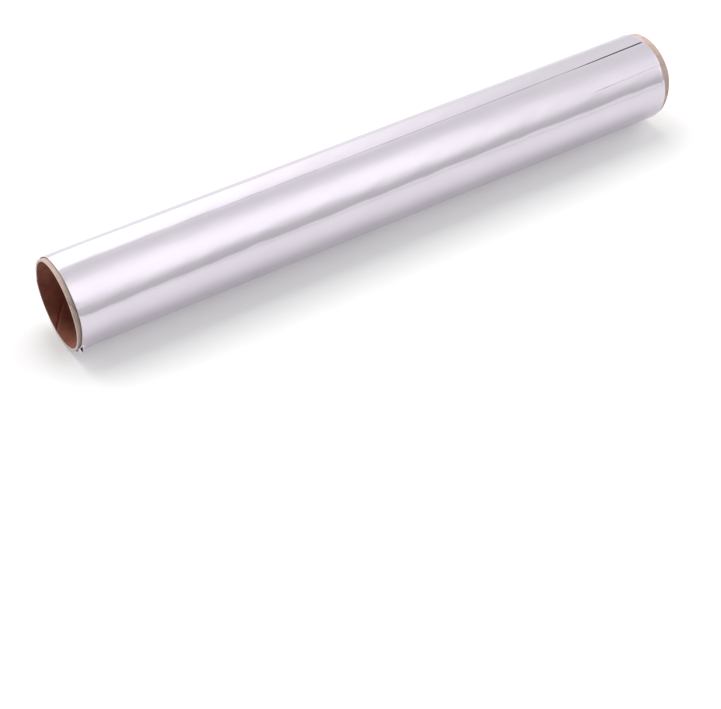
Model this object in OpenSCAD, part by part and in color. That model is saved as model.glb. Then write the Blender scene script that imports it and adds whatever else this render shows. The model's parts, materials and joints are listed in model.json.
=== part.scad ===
// A part-used roll of aluminium foil on a paperboard core, lying on its side.
// The roll runs along X, with its near end at -X. The front, -Y, is the side where the loose
// turns stand off. The origin is the middle of the flat spot that the roll rests on.

/* [Core] */
// Inner diameter of the paperboard core
core_bore_d = 38.1; // [25:0.1:80]
// Wall thickness of the core
core_wall = 1.1; // [0.6:0.1:3]
// Length of core that stands out beyond the foil at the near end
core_near = 1.4; // [0.5:0.1:10]
// Length of core that stands out beyond the foil at the far end
core_far = 4.6; // [3:0.1:10]

/* [Foil] */
// Width of the foil sheet, which is the length of the roll without its core
foil_width = 304.8; // [100:0.1:450]
// Radial build of the tight turns on the core
tight_build = 0.5; // [0.2:0.05:20]
// Distance that the innermost turns have slipped toward the far end
slip = 1; // [0.2:0.1:2]

/* [Loose turns] */
// Thickness of the last few turns, which cling together as one sheet
loose_build = 0.15; // [0.1:0.01:0.3]
// Widest gap between the loose turns and the tight ones, at the front
loose_gap = 0.35; // [0.1:0.05:0.6]
// Half of the angle over which the loose turns stand off at the front
loose_half_angle = 50; // [35:1:60]
// Place of the free tail edge round the roll, where 90 is the crest and 180 the front
tail_angle = 98; // [94:1:115]
// How far the tail edge springs up from the turn below it
tail_lift = 0.3; // [0.1:0.05:0.8]
// Angle over which the tail springs up
lip_angle = 24; // [20:1:30]

/* [Resting] */
// Width of the flat spot where the loose turns are pressed against the table
flat_width = 4.6; // [3.8:0.1:4.8]

/* [Hidden] */
$fn = 180;
core_bore_r = core_bore_d / 2;
core_r = core_bore_r + core_wall;
tight_r = core_r + tight_build;
slipped_r = core_r + tight_build / 2;
skin_r = tight_r + loose_build;
// The flat spot is a chord of the skin, so it sets how high the roll's axis lies.
axis_z = sqrt(pow(skin_r, 2) - pow(flat_width / 2, 2));
near_x = -foil_width / 2;
far_x = foil_width / 2;
// The stand-off is an arc whose centre sits forward of the roll's axis.
stand_off = loose_gap / (1 - cos(loose_half_angle));
gap_r = tight_r - stand_off * cos(loose_half_angle);
// The back of the last turn is an arc whose centre sits toward the tail.
back_r = skin_r + loose_build / 2;
// The lifted tail is a wider arc that leaves the last turn level and ends at the lifted edge.
lip_start = tail_angle - lip_angle;
lip_start_r = back_r + loose_build / 2 * cos(lip_angle);
lip_end_r = skin_r + loose_build + tail_lift;
lip_growth = (pow(lip_end_r, 2) - pow(lip_start_r, 2)) / (2 * (lip_start_r - lip_end_r * cos(lip_angle)));
reach = 2 * skin_r;

// Extrudes a section along the roll from x0 to x1. The section's x is Y and its y is up,
// both measured from the roll's axis.
module along_roll(x0, x1) {
    translate([x0, 0, axis_z]) rotate([90, 0, 90]) linear_extrude(x1 - x0) children();
}

// The arc of the loose turns at the front, with tangent flats that run into the skin
module loose_front() {
    front_r = gap_r + loose_build;
    side = [-cos(loose_half_angle), sin(loose_half_angle)];
    mirrored = [side.x, -side.y];
    centre = [-stand_off, 0];
    translate(centre) circle(front_r);
    polygon([skin_r * side, centre + front_r * side, centre + front_r * mirrored, skin_r * mirrored]);
}

// The back half of the last turn, which grows outward to the step at the tail edge
module last_turn_back() {
    intersection() {
        rotate(tail_angle) translate([loose_build / 2, 0]) circle(back_r);
        rotate(tail_angle) translate([-reach, -reach]) square([2 * reach, reach]);
    }
}

// What lies under the arc of the lifted tail, between two angles
module under_lip(start, end, depth) {
    intersection() {
        translate(-lip_growth * [cos(lip_start), sin(lip_start)]) circle(lip_start_r + lip_growth - depth);
        polygon([[0, 0], reach * [cos(start), sin(start)], reach * [cos(end), sin(end)]]);
    }
}

// The air under the lifted tail. It is cut a little past the tail edge, so that it is open there.
module lip_gap() {
    difference() {
        under_lip(lip_start, tail_angle + 2, loose_build);
        circle(skin_r);
    }
}

// The outline of the wound foil, cut off level at the flat spot
module foil_outline() {
    difference() {
        union() {
            circle(skin_r);
            loose_front();
            last_turn_back();
            under_lip(lip_start, tail_angle, 0);
        }
        lip_gap();
        translate([-reach, -axis_z - reach]) square([2 * reach, reach]);
    }
}

// The crescent of air between the loose turns and the tight ones
module crescent_gap() {
    difference() {
        translate([-stand_off, 0]) circle(gap_r);
        circle(tight_r);
    }
}

// The spiral-wound paperboard tube
module core_tube() {
    color("tan")
    along_roll(near_x - core_near, far_x + core_far)
        difference() {
            circle(core_r);
            circle(core_bore_r);
        }
}

// All turns of the foil, with the innermost ones slipped toward the far end
module foil_roll() {
    color("silver")
    difference() {
        union() {
            along_roll(near_x, far_x) foil_outline();
            along_roll(0, far_x + slip) circle(slipped_r);
        }
        along_roll(near_x - reach, far_x + reach) circle(core_r);
        along_roll(near_x - reach, far_x + reach) crescent_gap();
        along_roll(near_x - reach, near_x + slip) circle(slipped_r);
    }
}

core_tube();
foil_roll();
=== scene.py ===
"""An aluminium foil roll on its paperboard core, lying on its side on a pale floor.

Lengths are in millimetres up to the point where a mesh is made, and angles round the roll are in
degrees: 0 is the back (+Y), 90 the crest (+Z), 180 the front (-Y) and 270 the underside.
"""

import json
import math

import bmesh
import bpy
import numpy as np
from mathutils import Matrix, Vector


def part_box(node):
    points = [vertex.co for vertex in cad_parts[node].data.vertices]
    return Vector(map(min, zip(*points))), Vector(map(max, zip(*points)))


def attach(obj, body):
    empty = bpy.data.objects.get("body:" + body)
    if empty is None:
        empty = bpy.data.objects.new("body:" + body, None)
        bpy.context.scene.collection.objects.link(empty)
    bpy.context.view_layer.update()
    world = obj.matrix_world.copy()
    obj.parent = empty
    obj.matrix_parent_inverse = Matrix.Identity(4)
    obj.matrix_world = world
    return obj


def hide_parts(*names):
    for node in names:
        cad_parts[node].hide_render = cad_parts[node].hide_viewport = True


MM = 0.001
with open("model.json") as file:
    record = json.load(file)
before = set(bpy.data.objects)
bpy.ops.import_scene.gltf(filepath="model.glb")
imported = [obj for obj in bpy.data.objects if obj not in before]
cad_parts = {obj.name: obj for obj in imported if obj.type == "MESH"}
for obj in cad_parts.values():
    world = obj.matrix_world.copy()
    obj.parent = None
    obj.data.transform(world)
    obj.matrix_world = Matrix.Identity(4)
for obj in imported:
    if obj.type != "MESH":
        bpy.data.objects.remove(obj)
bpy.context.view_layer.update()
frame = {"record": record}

# Sizes taken from the frame
core_low, core_high = (np.array(corner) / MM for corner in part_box("core_tube"))
foil_low, foil_high = (np.array(corner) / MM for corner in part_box("foil_roll"))
bore_mount = next(m for m in frame["record"]["mounts"] if m["name"] == "core_bore")
AXIS_Z = (core_low[2] + core_high[2]) / 2
BORE_R = bore_mount["dims"]["r_mm"]
CORE_R = (core_high[1] - core_low[1]) / 2
CORE_NEAR, CORE_FAR = core_low[0], core_high[0]
FOIL_NEAR = foil_low[0]
FOIL_FAR = -FOIL_NEAR
SLIP = foil_high[0] - FOIL_FAR
FRONT_R = -foil_low[1]

# Sizes shared with the part's source
TIGHT_BUILD = 0.5
LOOSE_BUILD = 0.15
SKIN_R = CORE_R + TIGHT_BUILD + LOOSE_BUILD
TAIL_ANGLE = 98.0
LIP_ANGLE = 24.0

# The foil's surface
SHEET = 0.05
WAVE_ROOM = 0.05
BOX_MARGIN = 0.002
TAB_MARGIN = 0.02
FRONT_HALF_ANGLE = 62.0
TUCK_ANGLE = 35.0
TUCK_DEPTH = 0.15
NEAR_LIFT = -0.085
FAR_LIFT = 0.32
FAR_HUG = 0.2
CREASE_ANGLE = 134.4
CREASE_LENGTH = 44.0
CREASE_SWEEP = 0.053
CREASE_RISE = 0.3
CREASE_STEP = 0.36
CREASE_WIDTH = 0.55
END_CRINKLE = 0.022
END_FLARE = 0.06
NEAR_TUCK = 0.3
PUCKER_ANGLE = 211.5
PUCKER_HALF_ANGLE = 9.0
PUCKER_HEIGHT = 2.9
PUCKER_LENGTH = 2.0
POCKET_HALF_ANGLE = 12.0
POCKET_DEPTH = 4.5
TAB_SHORT_OF_CORE = 0.35

# The core's plies and cuts
PLY_PITCH = 88.0
PLY_GAP = 1.5
INNER_SEAM_X = -136.2
OUTER_SEAM_X = -188.5
SEAM_DEPTH = 0.12
SEAM_CORNER = 0.28
PLIES = 3
NEAR_CUT_DIP = 0.48
FAR_CUT_DIP = 1.5

# The fitted camera: degrees, millimetres, and the lens in millimetres on a 36 mm sensor
CAMERA_PAN = 32.585
CAMERA_TILT = 43.82
CAMERA_PLACE = (-315.9, -485.9, 448.8 + AXIS_Z)
CAMERA_LENS = 81.32
CAMERA_SENSOR = 36


def smooth(value):
    """A smooth step from 0 to 1."""
    value = np.clip(value, 0, 1)
    return value * value * (3 - 2 * value)


def round_roll(x, angle, radius):
    """Points at a distance along the roll, an angle round it and a radius from its axis."""
    x, angle, radius = np.broadcast_arrays(x, np.radians(angle), radius)
    return np.stack([x, radius * np.cos(angle), AXIS_Z + radius * np.sin(angle)], -1)


def make_piece(name, points, faces, materials, face_materials=None, weld=0.0):
    """A smooth-shaded mesh from points in millimetres, welded and with its normals outward."""
    mesh = bpy.data.meshes.new(name)
    mesh.from_pydata((points.reshape(-1, 3) * MM).tolist(), [], faces.tolist())
    for material in materials:
        mesh.materials.append(material)
    if face_materials is not None:
        mesh.polygons.foreach_set("material_index", face_materials)
    work = bmesh.new()
    work.from_mesh(mesh)
    if weld:
        bmesh.ops.remove_doubles(work, verts=work.verts, dist=weld * MM)
    bmesh.ops.recalc_face_normals(work, faces=work.faces)
    work.to_mesh(mesh)
    work.free()
    mesh.shade_smooth()
    mesh.set_sharp_from_angle(angle=math.radians(50))
    piece = bpy.data.objects.new(name, mesh)
    bpy.context.collection.objects.link(piece)
    return piece


def grid_faces(rows, columns, wrap_columns=False):
    """The four corners of each cell in a grid of points."""
    row, column = np.meshgrid(np.arange(rows - 1), np.arange(columns if wrap_columns else columns - 1),
                              indexing="ij")
    after = (column + 1) % columns
    corners = [row * columns + column, (row + 1) * columns + column,
               (row + 1) * columns + after, row * columns + after]
    return np.stack(corners, -1).reshape(-1, 4)


def foil_sheet(name, angle, x, radius, thickness):
    """A closed sheet of foil wound round the roll, kept inside the roll's box."""
    outer = round_roll(x, angle, radius)
    inner = round_roll(x, angle, radius - thickness)
    points = np.concatenate([outer, inner[:, ::-1]], axis=1)
    points = np.clip(points, (CORE_NEAR + TAB_MARGIN, *(foil_low[1:] + BOX_MARGIN)), foil_high - BOX_MARGIN)
    rows, columns = points.shape[:2]
    first = np.arange(columns // 2 - 1)
    cap = np.stack([first, first + 1, columns - 2 - first, columns - 1 - first], -1)
    faces = np.concatenate([grid_faces(rows, columns, wrap_columns=True), cap, cap + (rows - 1) * columns])
    return make_piece(name, points, faces, [FOIL])


# Foil

def turn_radius(angle):
    """The wound outline of the part's source: level in front, growing outward to the tail behind."""
    from_tail = np.radians(angle - TAIL_ANGLE)
    offset = LOOSE_BUILD / 2
    back = offset * np.cos(from_tail) + np.sqrt((SKIN_R + offset) ** 2 - (offset * np.sin(from_tail)) ** 2)
    grown = smooth((angle - (TAIL_ANGLE - 180)) / 12)
    return SKIN_R + (back - SKIN_R) * grown - WAVE_ROOM


def tail_lift(angle, x):
    """How far the tail springs up, from little at the near end to most at the far end."""
    along = 0.3 * (x - FOIL_NEAR) / (FOIL_FAR - FOIL_NEAR) + 0.7 * smooth((x - FOIL_FAR + 57) / 40)
    amount = NEAR_LIFT + (FAR_LIFT - NEAR_LIFT) * along + 0.012 * np.sin(0.09 * x + 1)
    return amount * np.clip(1 - (TAIL_ANGLE - angle) / LIP_ANGLE, 0, 1) ** 2


def front_stand_off(angle, x):
    """How far the loose turns stand off at the front, a little less at mid length."""
    from_front = np.abs(np.mod(angle, 360) - 180) / FRONT_HALF_ANGLE
    bulge = np.cos(np.pi / 2 * np.clip(from_front, 0, 1)) ** 2
    return (FRONT_R - SKIN_R) * bulge * (1 - 0.3 * np.cos(np.pi * x / (2 * FOIL_FAR)) ** 2)


def slack_waves(angle, x):
    """Gentle waves in the loose sheet: height, turns along the roll, lobes round it, phase."""
    waves = ((0.018, 2.3, 7, 0.4), (0.014, 6.1, -9, 1.9), (0.010, 12.7, 13, 4.0), (0.006, 23.0, 17, 2.2))
    along = 2 * np.pi * x / (2 * FOIL_FAR)
    return sum(height * np.sin(turns * along + lobes * np.radians(angle) + phase)
               for height, turns, lobes, phase in waves)


def crease(angle, x):
    """A fold that runs in from the far edge and fades out: the sheet steps down and then levels off."""
    fade = smooth((x - (FOIL_FAR - CREASE_LENGTH)) / (0.7 * CREASE_LENGTH))
    centre = CREASE_ANGLE + CREASE_SWEEP * (FOIL_FAR - x)
    across = np.radians(np.mod(angle, 360) - centre) * SKIN_R
    above, below = np.clip(-across, 0, None), np.clip(across, 0, None)
    fold = CREASE_RISE - CREASE_STEP * smooth(across / CREASE_WIDTH + 0.5)
    return fade * (fold * np.exp(-above / 4) * np.exp(-below / 5) - 0.07 * below * np.exp(-below / 2.6))


def far_hug(angle, x):
    """How much closer the last turn lies at the back near the far end."""
    behind = np.cos(np.radians(np.mod(angle, 360) - 55)).clip(0, 1)
    return FAR_HUG * smooth((x - 40) / 90) * smooth(behind * 1.6)


def end_ripples(angle, x):
    """A slight flare and ripples at both edges of the sheet. The near one is tucked in behind the crest."""
    turn = np.radians(angle)
    near = np.exp(-(x - FOIL_NEAR) / 2.0) * (np.sin(19 * turn) + 0.7 * np.sin(41 * turn + 1))
    far = np.exp(-(FOIL_FAR - x) / 2.0) * (np.sin(23 * turn + 2) + 0.6 * np.sin(37 * turn))
    flare = np.exp(-(x - FOIL_NEAR) / 0.35) + np.exp(-(FOIL_FAR - x) / 0.35)
    tucked = np.exp(-((np.mod(angle, 360) - 70) / 35) ** 2) * np.exp(-(x - FOIL_NEAR) / 2.5)
    return END_CRINKLE * (near + far) + END_FLARE * flare - NEAR_TUCK * tucked


def off_pucker(angle, half_angle):
    """How far an angle lies from the pucker's middle, in half angles."""
    return np.abs(np.mod(angle, 360) - PUCKER_ANGLE) / half_angle


def pucker(angle, x):
    """A spot low at the front where the sheet bulges outward just inside its near edge."""
    inward = x - FOIL_NEAR
    height = PUCKER_HEIGHT * smooth(1.6 * (1 - off_pucker(angle, PUCKER_HALF_ANGLE)))
    return height * smooth(inward + 0.15) * np.exp(-(inward / PUCKER_LENGTH) ** 2)


def edge_wander(angle, amount, seed):
    """How far a sheet's edge wanders along the roll."""
    turn = np.radians(angle)
    return amount * (np.sin(2.3 * turn + seed) + 0.5 * np.sin(5.7 * turn + 2 * seed)) / 1.5


def near_slide(angle):
    """How far the near edge lies in from the foil's width: least low at the front, where a tab stands out."""
    past_tail = np.mod(angle - TAIL_ANGLE, 360)
    return 0.8 * SLIP - 1.1 * smooth((past_tail - 62) / 45) + 1.1 * smooth((past_tail - 202) / 140)


def tab(angle):
    """How far the near edge stands out at the pucker."""
    reach = FOIL_NEAR - CORE_NEAR - TAB_SHORT_OF_CORE
    return reach * smooth(1.5 * (1 - off_pucker(angle, PUCKER_HALF_ANGLE)))


def pocket(angle):
    """How much further in the turns below the pucker end."""
    return POCKET_DEPTH * np.exp(-off_pucker(angle, POCKET_HALF_ANGLE) ** 2)


def far_slide(angle):
    """How far the last turn's far edge lies beyond the foil's width: it falls short at the front."""
    past_tail = np.mod(angle - TAIL_ANGLE, 360)
    return SLIP - 1.6 * (smooth((past_tail - 27) / 35) - smooth((past_tail - 132) / 80))


def tail_skew(x):
    """How far the tail edge lies behind its mean place, more toward the far end."""
    along = x / FOIL_FAR
    return 0.2 + 2.2 * along + 1.7 * along ** 3


def last_turn():
    """The outermost turn, with its free tail edge along the crest and its start tucked under it."""
    angles = np.unique(np.round(np.concatenate([
        np.arange(TAIL_ANGLE - 360 - TUCK_ANGLE, TAIL_ANGLE - 7, 1.7),
        np.arange(CREASE_ANGLE - 364, CREASE_ANGLE - 356, 0.14),
        np.arange(CREASE_ANGLE - 356, CREASE_ANGLE - 345, 0.6),
        np.arange(PUCKER_ANGLE - 371, PUCKER_ANGLE - 349, 0.5),
        np.arange(TAIL_ANGLE - 7, TAIL_ANGLE + 0.01, 0.5)]), 2))
    inward = np.array([0, 0.12, 0.3, 0.5, 0.75, 1.1, 1.5, 2.0, 2.7, 4.0, 5.6])
    stations = np.concatenate([FOIL_NEAR + inward, np.linspace(FOIL_NEAR + 8, FOIL_FAR - 8, 96),
                               (FOIL_FAR - inward)[::-1]])
    angle, x = np.meshgrid(angles, stations, indexing="ij")
    tuck = smooth((TAIL_ANGLE - 360 - angle) / TUCK_ANGLE)
    radius = turn_radius(angle) + tail_lift(angle, x) + front_stand_off(angle, x) + slack_waves(angle, x)
    radius += crease(angle, x) + end_ripples(angle, x) + pucker(angle, x) - far_hug(angle, x) - TUCK_DEPTH * tuck
    skewed = angle - tail_skew(x) * np.exp(-np.clip((TAIL_ANGLE - angle) / 13, 0, 6))
    radius = np.minimum(radius, AXIS_Z / np.maximum(-np.sin(np.radians(skewed)), 0.5))
    along = (x - FOIL_NEAR) / (FOIL_FAR - FOIL_NEAR)
    near = near_slide(angle) - tab(angle) + edge_wander(angle, 0.06, 0.3)
    far = far_slide(angle) + edge_wander(angle, 0.10, 1.1)
    return foil_sheet("foil_last_turn", skewed, x + near * (1 - along) + far * along, radius, SHEET)


def under_turns():
    """Two turns that cling to the inside of the last one and stand off with it."""
    angle = np.arange(TAIL_ANGLE - 750, TAIL_ANGLE - 30, 2.0)[:, None]
    near = FOIL_NEAR + near_slide(angle) + 0.12 + edge_wander(angle, 0.1, 1.4) + pocket(angle)
    x = np.concatenate([near, FOIL_FAR + 0.8 * SLIP + edge_wander(angle, 0.1, 1.4)], axis=1)
    radius = SKIN_R - 2 * WAVE_ROOM - SHEET - 0.01 + 0.03 * (angle - angle[-1]) / 360
    radius = np.minimum(radius, (AXIS_Z - 2 * SHEET) / np.maximum(-np.sin(np.radians(angle)), 0.5))
    return foil_sheet("foil_under_turns", angle, x, radius + front_stand_off(angle, x), 0.025)


def tight_turns():
    """The tight turns on the core, with the innermost slipped toward the far end."""
    angle = np.arange(0, 360 * 4 + 1, 3.0)[:, None]
    grown = angle / angle[-1]
    near = FOIL_NEAR + near_slide(angle) + 0.15 + 0.7 * (1 - grown) + pocket(angle)
    x = np.concatenate([near, FOIL_FAR + SLIP - 0.1 * grown + edge_wander(angle, 0.05, 2.1)], axis=1)
    return foil_sheet("foil_tight_turns", angle, x, CORE_R + 0.10 + 0.32 * grown + 0 * x, 0.03)


# Core

def cut_wander(angle, seed):
    """The ragged line of the core's cut, in from its outermost point."""
    turn = np.radians(angle)
    ripple = sum(np.sin(lobes * turn + seed * lobes) / (2 + lobes ** 0.5) for lobes in (2, 5, 11, 23, 47, 83))
    return 0.08 + 0.06 * ripple


def near_cut(angle):
    """Where the near cut lies: slightly out of square, furthest in at the top of the back."""
    return CORE_NEAR + cut_wander(angle, 1.0) + NEAR_CUT_DIP * np.exp(-(np.abs(np.mod(angle, 360) - 55) / 65) ** 2)


def far_cut(angle):
    """Where the far cut lies: slightly out of square, furthest in at the underside."""
    turn = np.mod(angle, 360)
    dip = FAR_CUT_DIP * (smooth((turn - 140) / 60) - smooth((turn - 290) / 70))
    return CORE_FAR - cut_wander(angle, 2.3) - dip


def wall_radius(radius, seam_x, into, angle, x):
    """The wall's radius, with a shallow channel where the edges of the spiral ply don't quite meet."""
    from_seam = np.mod(x - seam_x - PLY_PITCH * angle / 360 + PLY_PITCH / 2, PLY_PITCH) - PLY_PITCH / 2
    channel = (np.tanh(from_seam / 0.12) - np.tanh((from_seam - PLY_GAP) / 0.12)) / 2
    corner = np.exp(-((from_seam - 0.3) / 0.38) ** 4)
    return radius - into * (SEAM_DEPTH * channel + SEAM_CORNER * corner)


def wall_points(angles, radius, seam_x, into):
    """A wall of the tube, with its columns of points following the spiral seam."""
    before = np.array([0.12, 0.25, 0.4, 0.6, 1.0, 2, 4, 8, 14, 22, 32, 42])
    after = np.array([0.12, 0.25, 0.4, 0.6, 1.0, 1.3, 1.42, 1.54, 1.66, 1.8, 2.2, 3, 5, 9, 15, 23, 33, 43])
    pattern = np.concatenate([-before[::-1], [0], after])
    turns = np.arange(-4, 5) * PLY_PITCH
    offsets = (turns[:, None] + pattern).ravel()
    angle = angles[:, None]
    x = seam_x + PLY_PITCH * angle / 360 + offsets
    x = np.clip(x, near_cut(angle), far_cut(angle))
    return round_roll(x, angle, wall_radius(radius, seam_x, into, angle, x))


def cut_points(angles, x, outward):
    """A cut end of the tube: rings across the wall, dipping between the plies."""
    across = np.array([0, 0.06, 0.29, 0.33, 0.37, 0.62, 0.66, 0.70, 0.94, 1])
    between = np.minimum.reduce([np.abs(across - ply / PLIES) for ply in range(1, PLIES)])
    dip = 0.10 * np.exp(-(between / 0.03) ** 2)
    dip[[1, -2]] = -0.03
    angle = angles[:, None]
    inner = wall_radius(BORE_R, INNER_SEAM_X, -1, angle, x[:, None])
    outer = wall_radius(CORE_R, OUTER_SEAM_X, 1, angle, x[:, None])
    return round_roll(x[:, None] - outward * dip, angle, inner + (outer - inner) * across)


def core_board():
    """The spiral-wound tube: inner wall, outer wall and two cut ends."""
    angles = np.linspace(0, 360, 361)
    near, far = near_cut(angles), far_cut(angles)
    surfaces = ((wall_points(angles, BORE_R, INNER_SEAM_X, -1), 0),
                (wall_points(angles, CORE_R, OUTER_SEAM_X, 1), 1),
                (cut_points(angles, near, -1), 2), (cut_points(angles, far, 1), 2))
    points, faces, slots = [], [], []
    count = 0
    for surface, slot in surfaces:
        rows, columns = surface.shape[:2]
        cells = grid_faces(rows, columns) + count
        points.append(surface.reshape(-1, 3))
        faces.append(cells)
        slots.append(np.full(len(cells), slot))
        count += rows * columns
    return make_piece("core_board", np.concatenate(points), np.concatenate(faces), [KRAFT, BOARD, CUT_EDGE],
                      np.concatenate(slots), weld=0.002)


# Materials

def new_material(name):
    """A node material, with its tree and its shader."""
    material = bpy.data.materials.new(name)
    material.use_nodes = True
    return material, material.node_tree, material.node_tree.nodes["Principled BSDF"]


def stretched_noise(tree, scale, detail, roughness=0.5):
    """Noise over object coordinates, with its own scale on each axis, in cells per metre."""
    coordinates = tree.nodes.new("ShaderNodeTexCoord")
    mapping = tree.nodes.new("ShaderNodeMapping")
    mapping.inputs["Scale"].default_value = scale
    noise = tree.nodes.new("ShaderNodeTexNoise")
    noise.inputs["Scale"].default_value = 1.0
    noise.inputs["Detail"].default_value = detail
    noise.inputs["Roughness"].default_value = roughness
    tree.links.new(coordinates.outputs["Object"], mapping.inputs["Vector"])
    tree.links.new(mapping.outputs["Vector"], noise.inputs["Vector"])
    return noise.outputs["Fac"]


def add_bump(tree, height, distance, strength=1.0, below=None):
    """A bump of the given height in metres, on top of another one if there is one."""
    bump = tree.nodes.new("ShaderNodeBump")
    bump.inputs["Distance"].default_value = distance
    bump.inputs["Strength"].default_value = strength
    tree.links.new(height, bump.inputs["Height"])
    if below is not None:
        tree.links.new(below, bump.inputs["Normal"])
    return bump.outputs["Normal"]


def change(tree, value, start, end, first, last):
    """Goes from first to last while the value goes from start to end."""
    node = tree.nodes.new("ShaderNodeMapRange")
    for name, number in zip(("From Min", "From Max", "To Min", "To Max"), (start, end, first, last)):
        node.inputs[name].default_value = number
    tree.links.new(value, node.inputs["Value"])
    return node.outputs["Result"]


def calculate(tree, operation, *values):
    """One sum on values that are each a socket or a number."""
    node = tree.nodes.new("ShaderNodeMath")
    node.operation = operation
    for socket, value in zip(node.inputs, values):
        if isinstance(value, bpy.types.NodeSocket):
            tree.links.new(value, socket)
        else:
            socket.default_value = value
    return node.outputs[0]


def ramp(tree, value, stops):
    """A colour ramp with the given stops."""
    node = tree.nodes.new("ShaderNodeValToRGB")
    elements = node.color_ramp.elements
    while len(elements) < len(stops):
        elements.new(0.5)
    for element, (place, colour) in zip(elements, stops):
        element.position = place
        element.color = (*colour, 1)
    tree.links.new(value, node.inputs["Fac"])
    return node.outputs["Color"]


def foil_material():
    """Bright rolled aluminium, with fine rolling lines round the roll and a faint cloudiness."""
    material, tree, shader = new_material("foil")
    shader.inputs["Metallic"].default_value = 1.0
    cloud = stretched_noise(tree, (40, 90, 90), 3)
    colour = ramp(tree, cloud, ((0.3, (0.92, 0.857, 0.955)), (0.7, (0.95, 0.885, 0.98))))
    tree.links.new(colour, shader.inputs["Base Color"])
    streaks = stretched_noise(tree, (2600, 45, 45), 2)
    tree.links.new(change(tree, streaks, 0.3, 0.7, 0.09, 0.14), shader.inputs["Roughness"])
    lines = add_bump(tree, streaks, 0.000006)
    waves = stretched_noise(tree, (60, 160, 160), 1)
    tree.links.new(add_bump(tree, waves, 0.00009, below=lines), shader.inputs["Normal"])
    return material


def board_material(name, dark, light, fleck, grain=(900, 900, 900), bump=0.00008):
    """Paperboard with a mottled colour, darker flecks and a fibrous surface."""
    material, tree, shader = new_material(name)
    shader.inputs["Roughness"].default_value = 0.85
    shader.inputs["Specular IOR Level"].default_value = 0.25
    mottle = ramp(tree, stretched_noise(tree, (160, 220, 220), 6, 0.65), ((0.3, dark), (0.7, light)))
    flecks = ramp(tree, stretched_noise(tree, grain, 2), ((0.30, fleck), (0.42, (1, 1, 1))))
    mix = tree.nodes.new("ShaderNodeMix")
    mix.data_type = "RGBA"
    mix.blend_type = "MULTIPLY"
    mix.inputs["Factor"].default_value = 0.6
    tree.links.new(mottle, mix.inputs["A"])
    tree.links.new(flecks, mix.inputs["B"])
    tree.links.new(mix.outputs["Result"], shader.inputs["Base Color"])
    fibres = stretched_noise(tree, (700, 1900, 1900), 4, 0.7)
    tree.links.new(add_bump(tree, fibres, bump), shader.inputs["Normal"])
    return material


FOIL = foil_material()
KRAFT = board_material("kraft_inside", (0.39, 0.142, 0.095), (0.525, 0.23, 0.163), (0.75, 0.7, 0.68))
BOARD = board_material("board_outside", (0.585, 0.43, 0.367), (0.745, 0.572, 0.502), (0.6, 0.52, 0.46),
                       (1400, 1400, 1400))
CUT_EDGE = board_material("board_cut_edge", (0.79, 0.66, 0.62), (0.95, 0.83, 0.79), (0.75, 0.66, 0.60))


# Stage

# Grey levels of the studio, at degrees up from the front horizon, over the top to the back horizon
ROOM = ((0, 0.75), (0.6, 0.46), (9, 0.50), (19, 0.57), (95, 0.68), (119, 0.66))
BOX = ((17, 0), (26, 0.18), (34, 0.37), (43, 0.44), (58, 0.44), (72, 0.34), (80, 0.21), (88, 0.10), (96, 0.03),
       (102, 0))
DROP = ((110, 0), (119, 0.07), (124, 0.30), (134, 0.36), (150, 0.42), (170, 0.42), (180, 0.38))

# The floor's grey, then what is added to it for the camera and for the foil's mirror, each with a glow
FLOOR_GREY = 0.84
GREY_TO_CAMERA, GLOW_TO_CAMERA = 0.11, 0.165
GREY_TO_MIRROR, GLOW_TO_MIRROR = -0.26, 0.19


def bands(tree, half_turn, levels):
    """A row of grey levels over the half turn from the front horizon to the back one."""
    return ramp(tree, half_turn, [(degrees / 180, (level,) * 3) for degrees, level in levels])


def studio_world():
    """White to the camera. To all else, a studio that varies round the roll's axis and along it."""
    world = bpy.data.worlds.new("studio")
    bpy.context.scene.world = world
    world.use_nodes = True
    tree = world.node_tree
    nodes, links = tree.nodes, tree.links
    nodes.clear()
    direction = nodes.new("ShaderNodeTexCoord")
    split = nodes.new("ShaderNodeSeparateXYZ")
    links.new(direction.outputs["Generated"], split.inputs["Vector"])
    side, back, up = split.outputs
    front = calculate(tree, "MULTIPLY", back, -1)
    # In front, the floor's horizon climbs toward the far side
    climb = calculate(tree, "MULTIPLY", change(tree, side, 0.24, 0.64, 0, 0.2),
                      calculate(tree, "MAXIMUM", front, 0))
    height = calculate(tree, "SUBTRACT", up, climb)
    half_turn = calculate(tree, "DIVIDE", calculate(tree, "ARCTAN2", height, front), math.pi)
    room = bands(tree, half_turn, ROOM)
    box = calculate(tree, "MULTIPLY", bands(tree, half_turn, BOX), change(tree, side, 0.45, 0.557, 1, 0.5))
    drop = calculate(tree, "MULTIPLY", bands(tree, half_turn, DROP), change(tree, side, 0.24, 0.557, 1.7, 0.12))
    level = calculate(tree, "ADD", calculate(tree, "ADD", room, box), drop)
    # The near side is dim in front and lit behind
    behind = calculate(tree, "MULTIPLY", change(tree, half_turn, 0.5, 0.68, 0, 1),
                       change(tree, side, -0.1, 0.15, 1.15, 1))
    dimmed = calculate(tree, "MAXIMUM", change(tree, side, -0.1, 0.15, 0, 1), behind)
    level = calculate(tree, "MULTIPLY", level, dimmed)
    # Far along the roll, the studio ends in a bright wall
    level = calculate(tree, "ADD", level, change(tree, side, 0.74, 0.82, 0, 2.2))
    lit = nodes.new("ShaderNodeBackground")
    links.new(level, lit.inputs["Strength"])
    white = nodes.new("ShaderNodeBackground")
    for shade in (lit, white):
        shade.inputs["Color"].default_value = (1, 1, 1, 1)
    path = nodes.new("ShaderNodeLightPath")
    chooser = nodes.new("ShaderNodeMixShader")
    links.new(path.outputs["Is Camera Ray"], chooser.inputs["Fac"])
    links.new(lit.outputs[0], chooser.inputs[1])
    links.new(white.outputs[0], chooser.inputs[2])
    output = nodes.new("ShaderNodeOutputWorld")
    links.new(chooser.outputs[0], output.inputs["Surface"])


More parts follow.
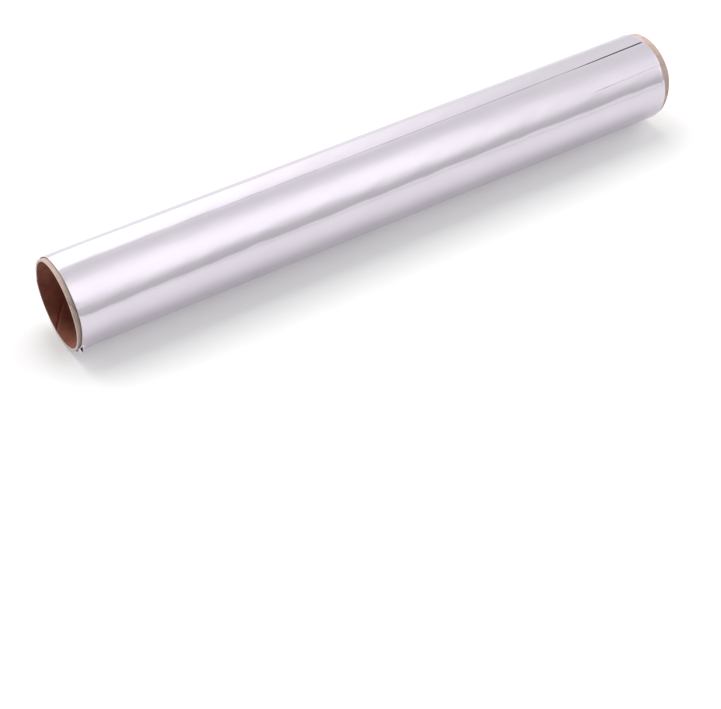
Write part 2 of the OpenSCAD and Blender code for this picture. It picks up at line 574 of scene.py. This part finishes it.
def seen_on_top(tree, to_camera, to_mirror):
    """One number for rays from the camera, another for rays from a mirror, and 0 for all others."""
    path = tree.nodes.new("ShaderNodeLightPath")
    return calculate(tree, "ADD", calculate(tree, "MULTIPLY", path.outputs["Is Camera Ray"], to_camera),
                     calculate(tree, "MULTIPLY", path.outputs["Is Glossy Ray"], to_mirror))


def floor():
    """A pale floor that keeps the roll's shadow: paler to the camera, darker and softer in the mirror."""
    material, tree, shader = new_material("floor")
    shader.inputs["Roughness"].default_value = 0.9
    shader.inputs["Specular IOR Level"].default_value = 0.0
    grey = calculate(tree, "ADD", FLOOR_GREY, seen_on_top(tree, GREY_TO_CAMERA, GREY_TO_MIRROR))
    tree.links.new(grey, shader.inputs["Base Color"])
    shader.inputs["Emission Color"].default_value = (1, 1, 1, 1)
    tree.links.new(seen_on_top(tree, GLOW_TO_CAMERA, GLOW_TO_MIRROR), shader.inputs["Emission Strength"])
    mesh = bpy.data.meshes.new("floor")
    half = 5.0
    mesh.from_pydata([(-half, -half, 0), (half, -half, 0), (half, half, 0), (-half, half, 0)], [], [(0, 1, 2, 3)])
    mesh.materials.append(material)
    plane = bpy.data.objects.new("floor", mesh)
    bpy.context.collection.objects.link(plane)


def softbox(name, place, size, power):
    """A square lamp aimed at the roll, kept out of the foil's mirror, which shows the studio."""
    lamp = bpy.data.lights.new(name, "AREA")
    lamp.size = size
    lamp.energy = power
    holder = bpy.data.objects.new(name, lamp)
    holder.location = place
    holder.rotation_euler = holder.location.to_track_quat("Z", "Y").to_euler()
    holder.visible_glossy = False
    bpy.context.collection.objects.link(holder)


def camera():
    """The photograph's viewpoint, fitted to the roll's side lines and both of its end rings."""
    data = bpy.data.cameras.new("camera")
    data.lens = CAMERA_LENS
    data.sensor_width = CAMERA_SENSOR
    data.clip_start = 0.01
    holder = bpy.data.objects.new("camera", data)
    holder.location = [value * MM for value in CAMERA_PLACE]
    holder.rotation_euler = (math.radians(90 - CAMERA_TILT), 0, math.radians(-CAMERA_PAN))
    bpy.context.collection.objects.link(holder)
    bpy.context.scene.camera = holder


camera()
studio_world()
floor()
softbox("back_softbox", place=(-0.05, 0.4, 0.95), size=0.7, power=4.4)

for make in (last_turn, under_turns, tight_turns):
    piece = make()
    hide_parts("foil_roll")
    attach(piece, "root")
board = core_board()
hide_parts("core_tube")
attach(board, "root")

bpy.context.scene.view_settings.view_transform = "Standard"
